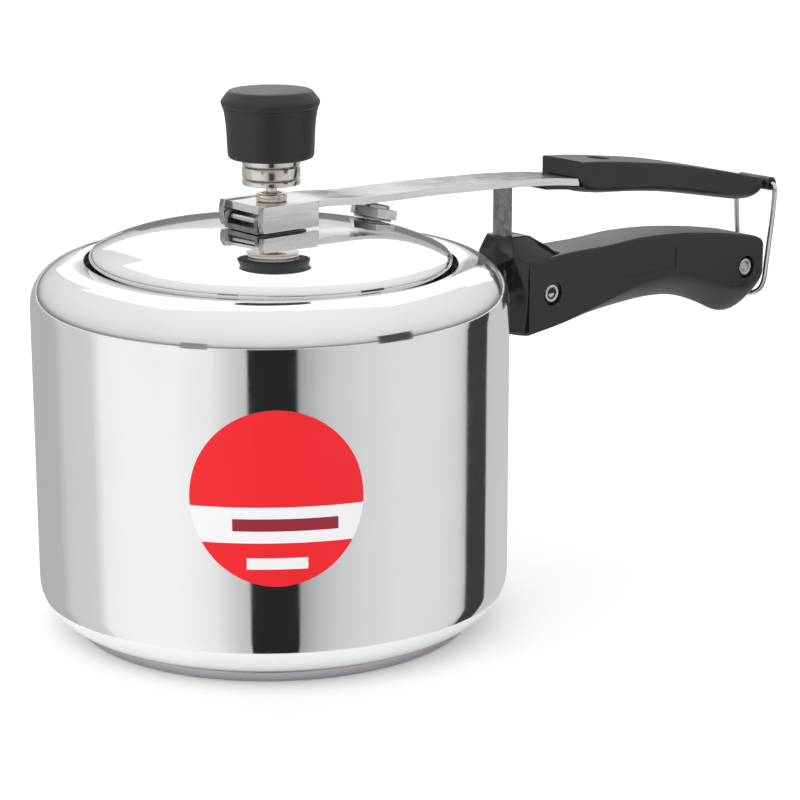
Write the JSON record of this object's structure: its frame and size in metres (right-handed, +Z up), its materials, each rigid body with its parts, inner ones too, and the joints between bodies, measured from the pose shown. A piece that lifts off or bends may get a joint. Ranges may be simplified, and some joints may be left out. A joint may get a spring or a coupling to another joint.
{
  "type": "stovetop pressure cooker",
  "caption": "Stovetop pressure cooker with an oval inner lid on a lever bar, black handles, a wire latch loop and a lift-off steam regulator.",
  "frame": {"origin": "centre of the base, on the vessel axis, at the bottom of the base plate", "axes": "+Z up along the vessel axis, +X towards the two handles, Y across them"},
  "size_m": [0.3685, 0.184, 0.2085],
  "materials": {
    "polished_aluminium": "mirror polished",
    "plated_steel": "polished plated steel",
    "bracket_steel": "dull rolled steel",
    "handle_plastic": "satin moulded phenolic",
    "knob_plastic": "satin moulded phenolic",
    "black_rubber": "moulded nitrile",
    "sticker_film": "printed film, plain colour blocks",
    "soft_alloy": "dull soft alloy"
  },
  "bodies": {
    "body": {"vessel_body": "polished_aluminium", "base_plate": "polished_aluminium", "front_sticker": "sticker_film", "body_bracket": "bracket_steel", "bracket_rivet_near": "plated_steel", "bracket_rivet_far": "plated_steel", "body_handle": "handle_plastic", "handle_bolt_front": "plated_steel", "handle_nut_front": "plated_steel", "handle_bolt_rear": "plated_steel", "handle_nut_rear": "plated_steel"},
    "lever": {"lever_bar": "plated_steel", "vent_collar": "plated_steel", "hinge_pin": "plated_steel", "lid_handle": "handle_plastic", "lid_handle_screw": "plated_steel", "lid_handle_nut": "plated_steel"},
    "latch": {"latch_loop": "plated_steel"},
    "lid": {"lid_plate": "polished_aluminium", "sealing_gasket": "black_rubber", "lid_bracket": "bracket_steel", "lid_rivet_near": "plated_steel", "lid_rivet_far": "plated_steel", "vent_tube": "plated_steel", "vent_washer": "soft_alloy", "vent_nut": "plated_steel", "safety_valve": "plated_steel", "valve_plug": "soft_alloy", "valve_washer": "soft_alloy", "valve_nut": "plated_steel"},
    "regulator": {"regulator_knob": "knob_plastic", "regulator_weight": "plated_steel", "regulator_needle": "plated_steel"}
  },
  "joints": [
    {"name": "lever_hinge", "type": "hinge", "parent": "body", "child": "lever", "pos_m": [0.1197, 0, 0.159], "axis": [0, -1, 0], "range_deg": [0, 8]},
    {"name": "lid_hinge", "type": "hinge", "parent": "lever", "child": "lid", "pos_m": [-0.0114, 0, 0.1599], "axis": [0, -1, 0], "range_deg": [-8, 0]},
    {"name": "latch_hinge", "type": "hinge", "parent": "lever", "child": "latch", "pos_m": [0.2735, 0, 0.1433], "axis": [0, -1, 0], "range_deg": [0, 40]},
    {"name": "regulator_lift", "type": "slide", "parent": "lid", "child": "regulator", "axis": [0, 0, 1], "range_m": [0, 0.03]}
  ],
  "couplings": [
    {"joint": "lid_hinge", "follows": "lever_hinge", "ratio": -1},
    {"joint": "latch_hinge", "follows": "lever_hinge", "ratio": 5}
  ]
}
